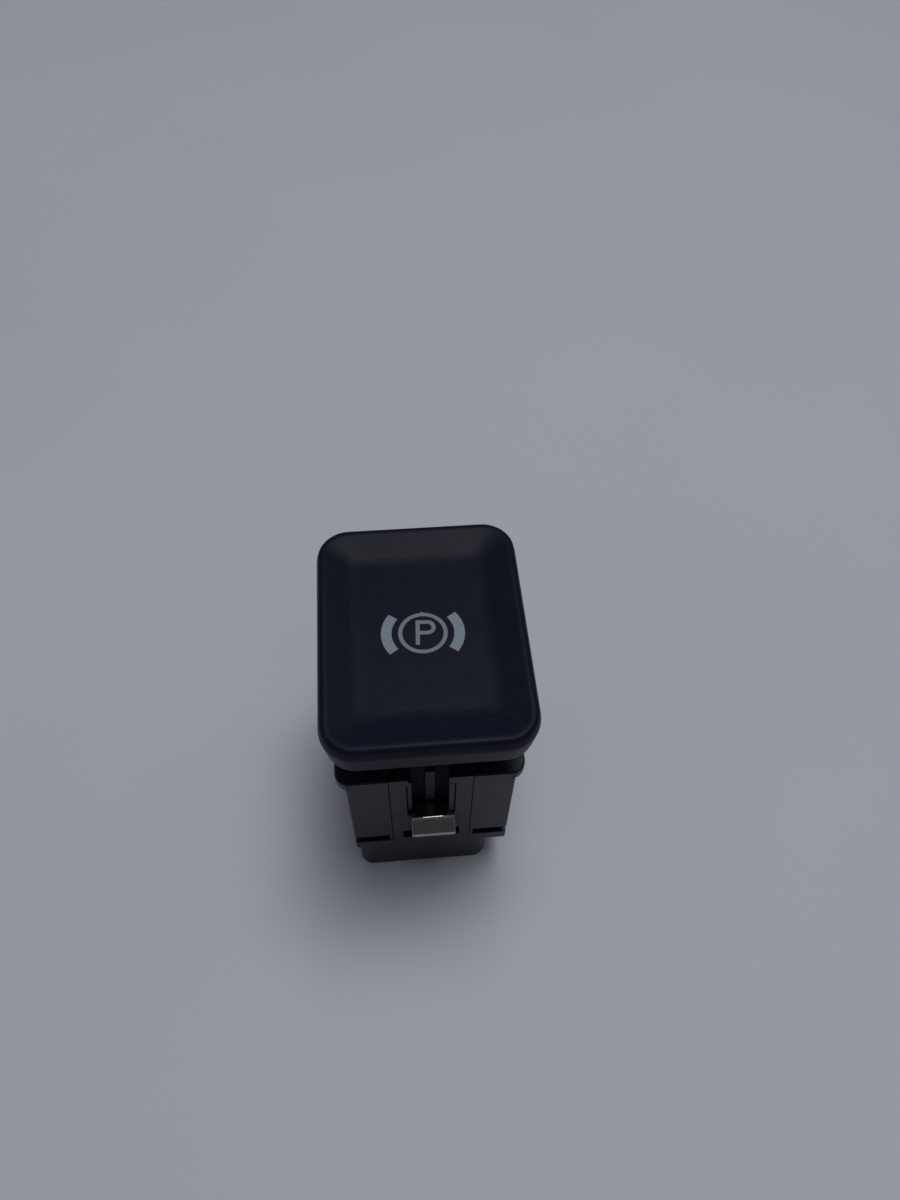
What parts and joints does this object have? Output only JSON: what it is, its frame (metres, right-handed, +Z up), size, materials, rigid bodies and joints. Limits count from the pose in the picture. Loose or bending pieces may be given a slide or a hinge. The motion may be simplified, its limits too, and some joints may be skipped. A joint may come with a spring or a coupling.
{
  "type": "parking brake switch",
  "caption": "Push button parking brake switch with a dished rectangular cap, flanged housing, bent steel retaining clips and a keyed connector socket.",
  "frame": {"origin": "on the floor under the middle of the part, which stands on the rim of its connector shroud", "axes": "+Z up, against the press of the button; +X across the cap's short side, to the right as the sign is read; -Y towards the driver"},
  "size_m": [0.0274, 0.0344, 0.0467],
  "materials": {
    "soft_cap": "soft touch",
    "white_lens": "satin",
    "inner_plastic": "matte",
    "black_plastic": "satin",
    "spring_steel": "bright rolled",
    "board": "satin",
    "silicone": "matte",
    "white_plastic": "matte",
    "clear_plastic": "clear",
    "diode_body": "gloss",
    "small_part": "matte",
    "tinned_brass": "tinned"
  },
  "bodies": {
    "housing": {"housing_shell": "black_plastic", "housing_base": "black_plastic", "front_clip": "spring_steel", "rear_clip": "spring_steel", "circuit_board": "board", "switching_mat": "silicone", "led_reflector": "white_plastic", "light_guide": "clear_plastic", "led_front": "diode_body", "led_rear": "diode_body", "resistor_left": "small_part", "resistor_right": "small_part", "diode": "small_part", "pin_1": "tinned_brass", "pin_2": "tinned_brass", "pin_3": "tinned_brass", "pin_4": "tinned_brass", "pin_5": "tinned_brass", "pin_6": "tinned_brass", "pin_7": "tinned_brass", "pin_8": "tinned_brass", "pin_9": "tinned_brass", "pin_10": "tinned_brass"},
    "button": {"button_cap": "soft_cap", "symbol_lens": "white_lens", "plunger": "inner_plastic"}
  },
  "joints": [
    {"name": "button_press", "type": "slide", "parent": "housing", "child": "button", "axis": [0, 0, 1], "range_m": [-0.0024, 0], "stiffness_N_per_m": 1200, "springref_m": 0.0012, "deforming": ["switching_mat"]}
  ]
}
